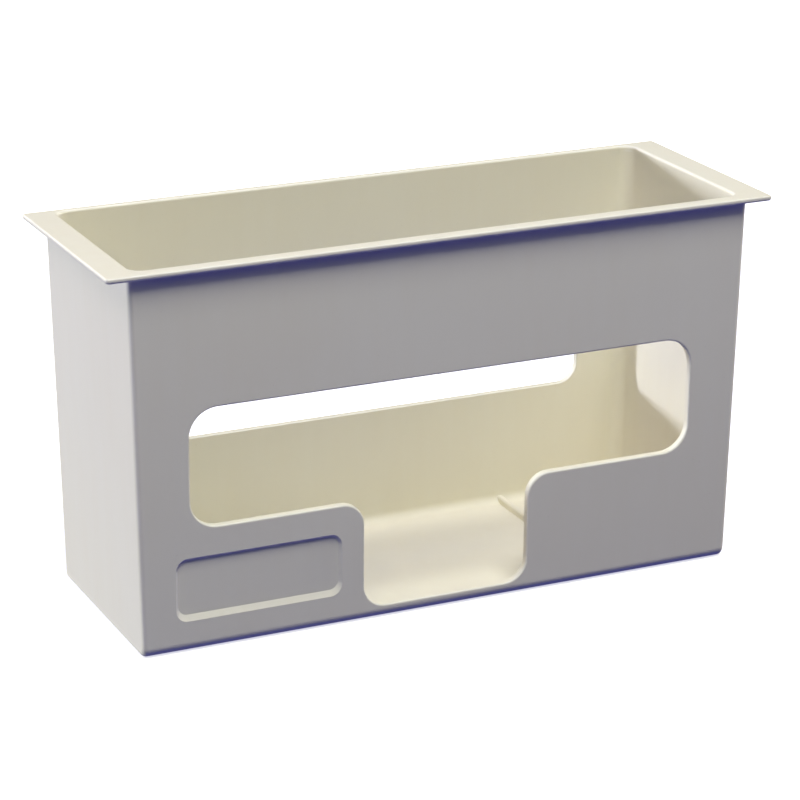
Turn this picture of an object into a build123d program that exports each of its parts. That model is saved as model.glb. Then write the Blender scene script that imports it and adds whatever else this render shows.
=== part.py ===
from build123d import *
from math import cos, radians, sin, tan
import os

# Disposable glove dispenser: one moulded shell, open at the top, that holds a box of gloves on its side.
# Millimetres. X runs left to right, Y from front to back, Z up. The origin is under the middle of the
# rim, on the surface that the shell stands on.

# The shell
body_width = 261.2          # outside the side walls, at the rim
body_depth = 95.0           # from the front wall to the flat back, at the rim
body_height = 155.0         # from the underside to the top of the rim
wall = 2.8
floor_thickness = 2.8
draft_angle = 1.1           # lean of the front and side walls, so that the shell leaves its mould

# The flange round the left, front and right of the mouth. The back has none, so that it can stand
# flat against a wall.
side_flange = 9.4
front_flange = 3.6
flange_thickness = 2.2
flange_corner_radius = 1.6
flange_edge_radius = 0.8
flange_root_radius = 1.0    # under the flange, where it meets the walls

# Roundings of the shell: crisp outside, fuller along the foot of the front wall and inside
outside_corner_radius = 2.2
back_corner_radius = 1.2
front_foot_radius = 4.4
inside_corner_radius = 5.5
inside_floor_radius = 4.0
mouth_edge_radius = 1.2

# The dispensing window in the front wall: a wide slot with a hand notch below its middle
window_width = 215.0
window_sill = 50.6          # height of the slot's lower edge
window_head = 98.6          # height of the slot's upper edge
window_corner_radius = 11.5
notch_width = 71.0
notch_sill = 5.6            # height of the notch's lower edge
notch_corner_radius = 9.5
shoulder_radius = 9.5       # where the notch opens into the slot
window_edge_radius = 0.8    # eased edge all round, for the gloves

# The slot in the back wall, that shows how many gloves are left and lets a hand push them forward
back_slot_width = 208.0
back_slot_sill = 53.0
back_slot_head = 98.6
back_slot_corner_radius = 8.5
back_slot_edge_radius = 0.6

# The label recess at the lower left of the front wall. Its edge slopes in on all four sides, and
# more gently at the foot, where it makes a ledge.
recess_width = 69.0
recess_height = 26.0
recess_depth = 1.2
recess_corner_radius = 5.0
recess_step_run = 1.2
recess_ledge_run = 2.4
recess_to_notch = 9.5       # plain wall between the recess and the notch
recess_to_slot = 11.6       # plain wall between the recess and the slot

# Low ribs on the floor, from front to back, for the glove box to slide on
rib_count = 2
rib_spacing = 136.0
rib_width = 2.6
rib_height = 3.0
rib_top_radius = 1.0

overcut = 5.0               # how far a cutting shape runs past what it cuts
hair = 0.01                 # two places or heights closer than this are the same

# Where the driving dimensions put the faces
lean = tan(radians(draft_angle))
rim_width = body_width + 2 * side_flange
rim_depth = body_depth + front_flange
back_y = rim_depth / 2
front_y = back_y - body_depth
flange_underside = body_height - flange_thickness


def front_face_y(height, inset=0.0):
    """Y of the front wall's outer face at a height, or of a face that lies inset behind it."""
    return front_y + (body_height - height) * lean + inset


def side_face_x(height, inset=0.0):
    """X of the right wall's outer face at a height, or of a face that lies inset from it."""
    return body_width / 2 - (body_height - height) * lean - inset


def tapered_block(bottom, top, inset=0.0):
    """The space between the leaning walls from one height to another, with sharp edges.

    It is what two prisms have in common: the side view pushed across the width, and the front view
    pushed through the depth. So every face is a true plane, and only the back has no lean.
    """
    side_view = Polyline(
        (front_face_y(bottom, inset), bottom),
        (back_y - inset, bottom),
        (back_y - inset, top),
        (front_face_y(top, inset), top),
        close=True,
    )
    front_view = Polyline(
        (-side_face_x(bottom, inset), bottom),
        (side_face_x(bottom, inset), bottom),
        (side_face_x(top, inset), top),
        (-side_face_x(top, inset), top),
        close=True,
    )
    across = extrude(Plane.YZ * make_face(side_view), rim_width, both=True)
    through = extrude(Plane.XZ * make_face(front_view), rim_depth, both=True)
    return across & through


def upright_edges(solid):
    """The edges that run up a block rather than along it."""
    return solid.edges().filter_by(lambda edge: abs(edge.tangent_at(0.5).Z) > cos(radians(45)))


def foot_edges(solid):
    """The edges round the underside of a block, the front one first."""
    return solid.faces().sort_by(Axis.Z)[0].edges().sort_by(Axis.Y)


def edges_at(solid, height):
    """The edges that lie level at a height."""
    return solid.edges().filter_by_position(Axis.Z, height - hair, height + hair)


def within(shapes, half_width, near, far):
    """Those of the shapes whose centre is inside a rectangle in plan, and not on its outline."""

    def inside(shape):
        at = shape.center()
        return abs(at.X) < half_width - hair and near + hair < at.Y < far - hair

    return shapes.filter_by(inside)


def outer_block():
    """The outside of the walls and floor, with its front corners and its feet rounded."""
    block = tapered_block(0, body_height)
    block = fillet(foot_edges(block)[0], front_foot_radius)
    front_uprights = upright_edges(block).filter_by(lambda edge: edge.center().Y < 0)
    return fillet(front_uprights + foot_edges(block)[1:], outside_corner_radius)


def flange_plate():
    """The plate that the flange is left from once the mouth is opened."""
    plate = extrude(Pos(0, 0, flange_underside) * Rectangle(rim_width, rim_depth), flange_thickness)
    front_corners = upright_edges(plate).filter_by(lambda edge: edge.center().Y < 0)
    return fillet(front_corners, flange_corner_radius)


def inside_block():
    """The space inside the walls, softer in its corners than the outside and open at the top."""
    block = tapered_block(floor_thickness, body_height + overcut, wall)
    block = fillet(upright_edges(block), inside_corner_radius)
    return fillet(foot_edges(block), inside_floor_radius)


def round_flange_root(solid):
    """Fillets the angle between the walls and the underside of the flange."""
    roots = edges_at(solid, flange_underside)
    roots = within(roots, rim_width / 2, front_y - front_flange, back_y)
    return fillet(roots, flange_root_radius)


def round_back_corners(solid):
    """Rounds the two upright corners between the side walls and the back."""
    tall = upright_edges(solid).filter_by(lambda edge: edge.length > body_height / 2)
    return fillet(tall.filter_by(lambda edge: edge.center().Y > back_y - wall), back_corner_radius)


def round_flange_edge(solid):
    """Rounds the free edge of the flange above and below, but not where it ends at the back."""

    def on_outline(edge):
        at = edge.center()
        at_side = abs(at.X) > rim_width / 2 - flange_corner_radius
        at_front = at.Y < front_y - front_flange + flange_corner_radius
        return at_side or at_front

    rings = edges_at(solid, body_height) + edges_at(solid, flange_underside)
    return fillet(rings.filter_by(on_outline), flange_edge_radius)


def round_mouth(solid):
    """Rounds the inner edge of the rim, where the glove box goes in."""
    mouth = within(edges_at(solid, body_height), body_width / 2, front_y, back_y)
    return fillet(mouth, mouth_edge_radius)


def flanged_shell():
    """Walls, floor and flange as one thin-walled shell with an open mouth."""
    solid = outer_block() + flange_plate()
    solid = round_flange_root(solid)
    solid = round_back_corners(solid)
    solid = round_flange_edge(solid)
    solid = solid - inside_block()
    return round_mouth(solid)


def front_wall_plane():
    """The outer face of the front wall as a plane, its origin at the foot and its Y up the wall."""
    outward = (0, -cos(radians(draft_angle)), -sin(radians(draft_angle)))
    return Plane(origin=(0, front_face_y(0), 0), x_dir=(1, 0, 0), z_dir=outward)


def opening_edges(solid, face_plane):
    """The edges of the one opening in the wall face that lies in a plane and looks out of it."""

    def in_plane(face):
        same_way = face.normal_at().dot(face_plane.z_dir) > 1 - hair ** 2
        return same_way and abs(face_plane.to_local_coords(face.center()).Z) < hair

    wall_face = solid.faces().filter_by(GeomType.PLANE).filter_by(in_plane).sort_by(SortBy.AREA)[-1]
    return wall_face.inner_wires()[0].edges()


def window_outline():
    """The T-shaped window: the slot, the notch below it and the rounded shoulders between them."""
    half_slot = window_width / 2
    half_notch = notch_width / 2
    sharp = Polyline(
        (-half_slot, window_head),
        (-half_slot, window_sill),
        (-half_notch, window_sill),
        (-half_notch, notch_sill),
        (half_notch, notch_sill),
        (half_notch, window_sill),
        (half_slot, window_sill),
        (half_slot, window_head),
        close=True,
    )

    def corners(outline, half_width, heights):
        """The corners at a distance from the middle line and at one of some heights."""

        def chosen(corner):
            return abs(abs(corner.X) - half_width) < hair and any(abs(corner.Y - z) < hair for z in heights)

        return outline.vertices().filter_by(chosen)

    outline = make_face(sharp)
    outline = fillet(corners(outline, half_slot, (window_sill, window_head)), window_corner_radius)
    outline = fillet(corners(outline, half_notch, (window_sill,)), shoulder_radius)
    return fillet(corners(outline, half_notch, (notch_sill,)), notch_corner_radius)


def cut_window(solid):
    """Opens the window square through the leaning front wall and eases its outer edge."""
    solid = solid - extrude(front_wall_plane() * window_outline(), 2 * wall, both=True)
    return fillet(opening_edges(solid, front_wall_plane()), window_edge_radius)


def cut_back_slot(solid):
    """Opens the long slot in the flat back and eases its edge on both faces of the wall."""
    outside = Plane(origin=(0, back_y, 0), x_dir=(1, 0, 0), z_dir=(0, 1, 0))
    inside = Plane(origin=(0, back_y - wall, 0), x_dir=(1, 0, 0), z_dir=(0, -1, 0))
    height = back_slot_head - back_slot_sill
    middle = Pos(0, back_slot_sill + height / 2)
    outline = inside * middle * RectangleRounded(back_slot_width, height, back_slot_corner_radius)
    solid = solid - extrude(outline, 2 * wall, both=True)
    for face_plane in (outside, inside):
        solid = fillet(opening_edges(solid, face_plane), back_slot_edge_radius)
    return solid


def cut_label_recess(solid):
    """Sinks the shallow label recess into the front wall, with its sloped sides and lower ledge."""
    left = -notch_width / 2 - recess_to_notch - recess_width
    top = window_sill - recess_to_slot

    def outline(depth):
        """The recess's outline at a depth below the wall's outer face, above it where negative."""
        share = depth / recess_depth
        step = share * recess_step_run
        ledge = share * recess_ledge_run
        width = recess_width - 2 * step
        height = recess_height - step - ledge
        middle = Pos(left + recess_width / 2, top - step - height / 2)
        flat = middle * RectangleRounded(width, height, recess_corner_radius - step)
        return front_wall_plane().offset(-depth) * flat

    return solid - loft([outline(-recess_depth / 2), outline(recess_depth)], ruled=True)


def floor_rib():
    """One round-topped rib, with its foot and its ends inside the floor and the walls."""
    near = front_face_y(0, wall / 2)
    far = back_y - wall / 2
    foot = floor_thickness / 2
    standing_on = (Align.CENTER, Align.MIN, Align.MIN)
    rib = Pos(0, near, foot) * Box(rib_width, far - near, foot + rib_height, align=standing_on)
    long_top_edges = rib.edges().filter_by(Axis.Y).group_by(Axis.Z)[-1]
    return fillet(long_top_edges, rib_top_radius)


def glove_dispenser():
    """The whole moulding."""
    solid = flanged_shell()
    solid = cut_window(solid)
    solid = cut_back_slot(solid)
    solid = cut_label_recess(solid)
    for place in GridLocations(rib_spacing, 1, rib_count, 1):
        solid = solid + place * floor_rib()
    return solid


body = glove_dispenser()
os.makedirs("parts", exist_ok=True)
export_step(body, "parts/dispenser_body.step")
print(f"dispenser_body: {body.volume / 1000:.1f} cm3, {len(body.faces())} faces, {len(body.solids())} solid")
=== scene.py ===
# %% [markdown]
# # A disposable glove dispenser
#
# The object is one moulded plastic shell with an open mouth, a T-shaped window in front and a slot in
# its back. A box of gloves stands inside it, and the gloves come out through the window. The solid
# model already has every wall, opening and rounded edge at its real size, so this script adds no shape
# of its own. It gives the moulding its finish, stands it on a pale floor, lights it, and looks at it
# from where the photograph was taken.
#
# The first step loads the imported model. All lengths here are in metres.

# %% Load the model
from math import cos, radians, sin

import bpy
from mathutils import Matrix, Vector


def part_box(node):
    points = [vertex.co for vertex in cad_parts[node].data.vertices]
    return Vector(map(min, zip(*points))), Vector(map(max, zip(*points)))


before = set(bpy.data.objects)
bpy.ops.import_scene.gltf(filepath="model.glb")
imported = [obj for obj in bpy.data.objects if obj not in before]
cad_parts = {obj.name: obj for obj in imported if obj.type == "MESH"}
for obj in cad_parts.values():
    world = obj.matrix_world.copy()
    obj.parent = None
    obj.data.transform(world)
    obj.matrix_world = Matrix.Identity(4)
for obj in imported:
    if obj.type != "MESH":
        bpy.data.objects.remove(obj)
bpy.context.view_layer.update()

scene = bpy.context.scene
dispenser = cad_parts["dispenser_body"]
low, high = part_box("dispenser_body")
print("dispenser, mm:", [round(1000 * (high[i] - low[i]), 1) for i in range(3)])

# %% [markdown]
# ## Writing shader maths as formulas
#
# A finish is a tree of nodes, and each sum in it is a Math node. Wired by hand, a few dozen of them are
# hard to read and harder to change. So one small class wraps an output socket and turns Python's own
# operators into Math nodes: with it, `0.4 + 0.1 * grain` makes the two nodes and both links.
#
# A second class owns a tree. Every other kind of node is added by its one `node` method, which takes the
# node's type, then its settings, then what goes into its sockets. Settings come first because some of
# them, such as a Mix node's data type, decide which sockets there are. A number that is the same all
# over the surface needs no node: it is set on the shader itself.

# %% Sockets that can be added and multiplied
class Wire:
    """An output socket of a node. Maths on it adds Math nodes to its tree."""

    def __init__(self, shading, socket):
        self.shading = shading
        self.socket = socket

    def maths(self, operation, *values):
        return self.shading.node("ShaderNodeMath", {"operation": operation}, dict(enumerate(values)))

    def __add__(self, other):
        return self.maths("ADD", self, other)

    def __radd__(self, other):
        return self.maths("ADD", other, self)

    def __sub__(self, other):
        return self.maths("SUBTRACT", self, other)

    def __rsub__(self, other):
        return self.maths("SUBTRACT", other, self)

    def __mul__(self, other):
        return self.maths("MULTIPLY", self, other)

    def __rmul__(self, other):
        return self.maths("MULTIPLY", other, self)

    def kept_within_one(self):
        return self.maths("MINIMUM", self.maths("MAXIMUM", self, 0.0), 1.0)


# %% A tree of nodes and the one method that adds a node to it
class Shading:
    """The node tree of a material or a world, and the shader in it that is fed."""

    def __init__(self, tree, shader):
        self.tree = tree
        self.shader = tree.nodes[shader]

    def feed(self, socket, value):
        """Links a wire to a socket, or sets the socket to a plain value."""
        if isinstance(value, Wire):
            self.tree.links.new(value.socket, socket)
        else:
            socket.default_value = value

    def node(self, kind, settings, inputs, output=0):
        """Adds a node: its settings first, then what goes into its sockets."""
        made = self.tree.nodes.new(kind)
        for name, value in settings.items():
            setattr(made, name, value)
        for name, value in inputs.items():
            self.feed(made.inputs[name], value)
        return Wire(self, made.outputs[output])

    def blend(self, factor, first, second):
        """The first colour where the factor is 0, the second where it is 1."""
        inputs = {0: factor, 6: first, 7: second}
        return self.node("ShaderNodeMix", {"data_type": "RGBA"}, inputs, output=2)

    def scaled(self, place, stretch):
        """A place, squeezed or stretched along each axis."""
        return self.node("ShaderNodeVectorMath", {"operation": "MULTIPLY"}, {0: place, 1: stretch})

    def noise(self, place, size, detail=2.0, roughness=0.5):
        """Noise from 0 to 1, with soft blobs about as large as a size in metres."""
        inputs = {"Vector": place, "Scale": 1 / size, "Detail": detail, "Roughness": roughness}
        return self.node("ShaderNodeTexNoise", {}, inputs)

    def step(self, value, start, end):
        """Rises smoothly from 0 at a start value to 1 at an end value."""
        inputs = {"Value": value, "From Min": start, "From Max": end}
        return self.node("ShaderNodeMapRange", {"interpolation_type": "SMOOTHSTEP"}, inputs)

    def set(self, inputs):
        """Feeds sockets of the shader, by their names."""
        for name, value in inputs.items():
            self.feed(self.shader.inputs[name], value)


def new_finish(name):
    """A new material and the shading that belongs to it."""
    material = bpy.data.materials.new(name)
    material.use_nodes = True
    return material, Shading(material.node_tree, "Principled BSDF")


# %% [markdown]
# ## The camera
#
# A photograph of a box tells where the camera stood. Edges that are parallel on the box run together in
# the picture, and how they do so gives the turn, the tilt and the distance. This camera stood to the
# left of the front and looked down on it a little, through a long lens, so the walls hardly converge.
# It is placed on a sphere about the middle of the shell, and aimed a touch below the middle, because
# the photograph leaves more room under the shell than above it.

# %% Place the camera
CAMERA_TURN = -24.6        # degrees from straight in front, towards the left
CAMERA_TILT = 18.86        # degrees above level
CAMERA_DISTANCE = 1.2159
FIELD_WIDTH = 0.32156      # metres across the picture at the middle of the shell
AIM_DROP = 0.00374         # how far the middle of the picture lies below the middle of the shell
AIM_LEFT = 0.0005          # and how far to its left
SENSOR_WIDTH = 36.0        # millimetres


def direction(turn_deg, tilt_deg):
    """The unit vector towards something that stands turned from the front and above level."""
    turn, tilt = radians(turn_deg), radians(tilt_deg)
    return Vector((sin(turn) * cos(tilt), -cos(turn) * cos(tilt), sin(tilt)))


middle = (low + high) / 2
towards_camera = direction(CAMERA_TURN, CAMERA_TILT)
picture_up = direction(CAMERA_TURN + 180, 90 - CAMERA_TILT)
picture_right = picture_up.cross(towards_camera)
eye = middle + CAMERA_DISTANCE * towards_camera
aim = middle - AIM_DROP * picture_up - AIM_LEFT * picture_right

camera_data = bpy.data.cameras.new("camera")
camera_data.sensor_width = SENSOR_WIDTH
camera_data.lens = SENSOR_WIDTH * CAMERA_DISTANCE / FIELD_WIDTH
camera = bpy.data.objects.new("camera", camera_data)
camera.location = eye
camera.rotation_euler = (aim - eye).to_track_quat("-Z", "Y").to_euler()
scene.collection.objects.link(camera)
scene.camera = camera
print("lens, mm:", round(camera_data.lens, 1), " eye:", [round(v, 4) for v in eye])

# %% [markdown]
# ## Moulded cream plastic
#
# The shell is injection moulded: molten plastic, coloured through in a warm cream, fills a steel mould.
# What one sees on such a piece has a handful of causes, and the finish is built from the same ones.
#
# - **Satin grain.** The steel was lightly blasted, so the skin is covered in fine soft pits under half a
#   millimetre across. They are a bump made of two noises, one per size of pit.
# - **Waviness.** Large thin walls cool unevenly and end up a few hundredths of a millimetre out of
#   true. The eye reads it in the sheen, so a wide, very shallow noise joins the bump.
# - **Flow.** The plastic ran up the walls from the floor, which leaves hardly visible streaks that are
#   long along the flow. The streak noise is squeezed along the height to draw them.
# - **Colour.** The pigment isn't perfectly mixed. A slow drift between two close creams breaks the
#   evenness, and tiny specks of undissolved pigment pepper it.
# - **Bright edges.** The rounded edges of the rim, the window and the corners are painted a little
#   paler, a painted highlight where they catch the light, and they are made a little smoother, as if
#   rubbed by hands, gloves and boxes. A rounded edge gives itself away by its normal, which points along
#   no axis of a boxy piece, so it is found without tracing a ray. The hollow roundings inside do the
#   same but are left plain, so only those near the outside count.
# - **Rubbed foot.** The lowest few millimetres slide about on the bench, so they lose some of the
#   sheen and pick up short scratches along the bench.
#
# Each is weak by itself. Together they keep the large plain walls from looking like computer plastic.

# %% Colour of the plastic
CREAM = (0.825, 0.79, 0.635, 1.0)
WARM_CREAM = (0.81, 0.765, 0.60, 1.0)
SPECK = (0.68, 0.62, 0.48, 1.0)
# the pale cream of the painted highlight on the rounded outer edges
EDGE_HIGHLIGHT = (0.88, 0.855, 0.75, 1.0)
DRIFT_SIZE = 0.09
STREAK_SIZE = 0.006        # across the flow
ALONG_FLOW = (1.0, 1.0, 0.12)
SPECK_SIZE = 0.0011
SPECK_STRENGTH = 0.25

material, plastic = new_finish("cream_plastic")
place = plastic.node("ShaderNodeTexCoord", {}, {}, output=3)

drift = plastic.noise(place, DRIFT_SIZE, detail=3.0)
streaks = plastic.noise(plastic.scaled(place, ALONG_FLOW), STREAK_SIZE, detail=3.0)
uneven = (0.7 * drift + 0.3 * streaks).kept_within_one()
base = plastic.blend(plastic.step(uneven, 0.3, 0.7), CREAM, WARM_CREAM)

speck_noise = plastic.noise(place, SPECK_SIZE, detail=1.0)
specks = SPECK_STRENGTH * plastic.step(speck_noise, 0.75, 0.80)
base = plastic.blend(specks, base, SPECK)
print("drift, streaks and specks, mm:", 1000 * DRIFT_SIZE, 1000 * STREAK_SIZE, 1000 * SPECK_SIZE)

# %% Painted highlight on the edges, and the rubbed foot
WALL = 0.0028
LEAN = 0.0192              # how far the front wall comes forward per metre of height, in metres
FRONT_FLANGE = 0.0036
FLANGE_THICKNESS = 0.0022
FOOT_RUB_HEIGHT = 0.006
BLUR = 0.0006              # over how much each mask fades
PATCH_SIZE = 0.012         # of the patches along the edges that are paler and smoother
PALER = 0.65               # how far an edge goes towards the pale colour of its painted highlight


def sides(vector):
    """The three parts of a vector as wires."""
    return [plastic.node("ShaderNodeSeparateXYZ", {}, {"Vector": vector}, output=i) for i in range(3)]


def larger(first, *others):
    """The largest of some wires."""
    for other in others:
        first = first.maths("MAXIMUM", first, other)
    return first


normal = plastic.node("ShaderNodeTexCoord", {}, {}, output=1)
along_axis = larger(*[part.maths("ABSOLUTE", part) for part in sides(normal)])
rounded = plastic.step(1.0 - along_axis, 0.02, 0.18)

across, depth, height = sides(place)
front_face = low.y + FRONT_FLANGE + (high.z - height) * LEAN
near_front = 1.0 - plastic.step(depth - front_face, WALL / 2, WALL / 2 + BLUR)
near_back = plastic.step(depth, high.y - WALL - BLUR / 2, high.y - WALL)
near_top = plastic.step(height, high.z - FLANGE_THICKNESS - BLUR, high.z - FLANGE_THICKNESS)
near_foot = 1.0 - plastic.step(height, low.z + WALL - BLUR, low.z + WALL)
outside = larger(near_front, near_back, near_top, near_foot)

patchy = plastic.step(plastic.noise(place, PATCH_SIZE, detail=4.0, roughness=0.65), 0.3, 0.65)
edges = rounded * outside * (0.4 + 0.6 * patchy)
foot = 1.0 - plastic.step(height, low.z, low.z + FOOT_RUB_HEIGHT)
# painted highlight: the rounded outer edges are painted paler, where they catch the light
base = plastic.blend(PALER * edges, base, EDGE_HIGHLIGHT)
print("rubbed foot, mm:", 1000 * FOOT_RUB_HEIGHT)

# %% Skin of the plastic
GRAIN_SIZE = 0.00042
FINE_GRAIN_SIZE = 0.00016
GRAIN_DEPTH = 0.000014
WAVE_SIZE = 0.045
WAVE_DEPTH = 0.00020
SCRATCH_WIDTH = 0.0009
SCRATCH_DEPTH = 0.00003
ALONG_BENCH = (0.06, 0.06, 1.0)
SHEEN = 0.44               # roughness of the plain skin

grain = plastic.noise(place, GRAIN_SIZE, detail=2.0, roughness=0.6)
fine_grain = plastic.noise(place, FINE_GRAIN_SIZE, detail=1.0)
waves = plastic.noise(place, WAVE_SIZE, detail=1.0)
scratch_noise = plastic.noise(plastic.scaled(place, ALONG_BENCH), SCRATCH_WIDTH, detail=1.0)
scratches = foot * plastic.step(scratch_noise, 0.60, 0.68)

pitted = GRAIN_DEPTH * (1.0 - 0.7 * edges) * (0.7 * grain + 0.3 * fine_grain)
relief = pitted + WAVE_DEPTH * waves - SCRATCH_DEPTH * scratches
skin = plastic.node("ShaderNodeBump", {}, {"Strength": 1.0, "Distance": 1.0, "Height": relief})
sheen = SHEEN + 0.07 * uneven + 0.05 * fine_grain + 0.10 * foot - 0.12 * edges
plastic.set(
    {
        "Base Color": base,
        "Roughness": sheen.kept_within_one(),
        "Normal": skin,
        "IOR": 1.50,
        "Specular IOR Level": 0.42,
    }
)
dispenser.data.materials.clear()
dispenser.data.materials.append(material)
print("plastic nodes:", len(plastic.tree.nodes))

# %% [markdown]
# ## The floor
#
# The photograph stands the shell on a plain white table in a white room, both lit so brightly that they
# print as one even white. A large square does for the table. It glows by itself, and more so away from
# the shell, where the lamps don't reach. So it stays even and pale out to the horizon, while the lamps
# still draw a faint shadow round the foot of the shell.
#
# It also stays out of the reckoning of the shell's light. The underside of the rim and the rounded foot
# are deep blue in the photograph, so what lay below the shell there was dark and cool. A white floor
# would fill these shadows with light, so it is hidden from the rays that light the plastic.

# %% Lay the floor
FLOOR_REACH = 8.0
FLOOR_GAP = 0.0001
WHITE = (1.0, 1.0, 1.0, 1.0)
PALE = (0.62, 0.62, 0.62, 1.0)
PAINT = (0.86, 0.86, 0.86, 1.0)
LIGHTER_PAINT = (0.90, 0.90, 0.90, 1.0)
PAINT_DRIFT = 0.5
GLOW_NEAR = 0.3            # the floor glows least within this distance of the shell
GLOW_FAR = 1.5             # and fully beyond this one

floor_mesh = bpy.data.meshes.new("floor")
corners = [(FLOOR_REACH * x, FLOOR_REACH * y, 0.0) for x, y in ((-1, -1), (1, -1), (1, 1), (-1, 1))]
floor_mesh.from_pydata(corners, [], [(0, 1, 2, 3)])
floor = bpy.data.objects.new("floor", floor_mesh)
floor.location.z = -FLOOR_GAP
scene.collection.objects.link(floor)
floor.visible_diffuse = False
floor.visible_glossy = False
floor.visible_shadow = False

floor_material, floor_paint = new_finish("floor_paint")
floor_place = floor_paint.node("ShaderNodeTexCoord", {}, {}, output=3)
floor_tone = floor_paint.noise(floor_place, PAINT_DRIFT, detail=2.0)
length = {"operation": "LENGTH"}
floor_distance = floor_paint.node("ShaderNodeVectorMath", length, {0: floor_place}, output=1)
far_away = floor_paint.step(floor_distance, GLOW_NEAR, GLOW_FAR)
floor_paint.set(
    {
        "Base Color": floor_paint.blend(floor_tone, PAINT, LIGHTER_PAINT),
        "Roughness": 0.9,
        "Emission Color": floor_paint.blend(far_away, PALE, WHITE),
        "Emission Strength": 1.0,
    }
)
floor_mesh.materials.append(floor_material)
print("floor, m across:", 2 * FLOOR_REACH)

# %% [markdown]
# ## The light
#
# Each tone in the photograph is a clue to a lamp. The left wall is the brightest and has hard edges to
# its shade, so a small lamp stood far out to the left and a little behind. The rim, the sill and the
# floor inside are bright and warm, so a broad lamp hung above the front. Weaker ones filled in.
#
# Guessing strengths takes many tries. Light adds up, though, so a picture lit by many lamps is the sum
# of pictures lit by one lamp each. The shell was rendered once under each likely lamp, and the
# strengths were solved for, with none below zero, so that the sum meets the photograph's tones on some
# forty small patches. Red, green and blue were solved apart, and that gave each lamp its tint.
#
# Two more lamps stand low, to the right and behind. They hardly show from this side, and keep the far
# sides of the shell warm and light when one walks round it. The key lamp was turned down a little to
# make room for them.

# %% Hang the lamps
LAMP_POWER = 100.0
LAMPS = {
    # name: turn and tilt in degrees, distance, width, and strength in red, green and blue
    "key": (-124.0, 4.0, 3.0, 0.25, (0.520, 0.550, 0.665)),
    "overhead": (0.0, 66.0, 2.0, 0.8, (0.336, 0.338, 0.335)),
    "above": (0.0, 89.0, 2.0, 1.2, (0.0, 0.013, 0.046)),
    "left": (-90.0, 60.0, 2.0, 0.8, (0.075, 0.060, 0.085)),
    "front_left": (-45.0, 40.0, 2.5, 1.0, (0.060, 0.064, 0.036)),
    "left_low": (-108.0, -30.0, 0.7, 0.3, (0.007, 0.007, 0.003)),
    "right": (90.0, 12.0, 2.5, 1.0, (0.28, 0.26, 0.21)),
    "behind": (-165.0, 8.0, 2.5, 1.0, (0.15, 0.14, 0.105)),
}


def hang_lamp(name, turn_deg, tilt_deg, distance, width, tint):
    """A square lamp that faces the middle of the shell."""
    data = bpy.data.lights.new(name, "AREA")
    data.shape = "SQUARE"
    data.size = width
    data.energy = LAMP_POWER
    data.color = tint
    lamp = bpy.data.objects.new(name, data)
    away = direction(turn_deg, tilt_deg)
    lamp.location = middle + distance * away
    lamp.rotation_euler = (-away).to_track_quat("-Z", "Y").to_euler()
    scene.collection.objects.link(lamp)


for name, settings in LAMPS.items():
    hang_lamp(name, *settings)
print("lamps:", len(LAMPS))

# %% [markdown]
# ## The room
#
# The world does two jobs that don't go together, and a Light Path node keeps them apart. What the
# camera sees of it directly, past the edge of the floor, is the same even white as the floor. What
# lights the plastic is dark above, where the lamps do the work, and a deep cool blue below, which is
# the blue of the photograph's shade under the rim and along the foot.

# %% Paint the room
BELOW = (0.068, 0.072, 0.322, 1.0)
DARK = (0.0, 0.0, 0.0, 1.0)

world = bpy.data.worlds.new("room")
world.use_nodes = True
room = Shading(world.node_tree, "Background")
look = room.node("ShaderNodeTexCoord", {}, {}, output=0)
look_height = room.node("ShaderNodeSeparateXYZ", {}, {"Vector": look}, output=2)
lighting = room.blend(look_height.maths("GREATER_THAN", look_height, 0.0), BELOW, DARK)
seen_directly = room.node("ShaderNodeLightPath", {}, {}, output=0)
room.set({"Color": room.blend(seen_directly, lighting, WHITE)})
scene.world = world
scene.view_settings.view_transform = "Standard"
print("room nodes:", len(room.tree.nodes))
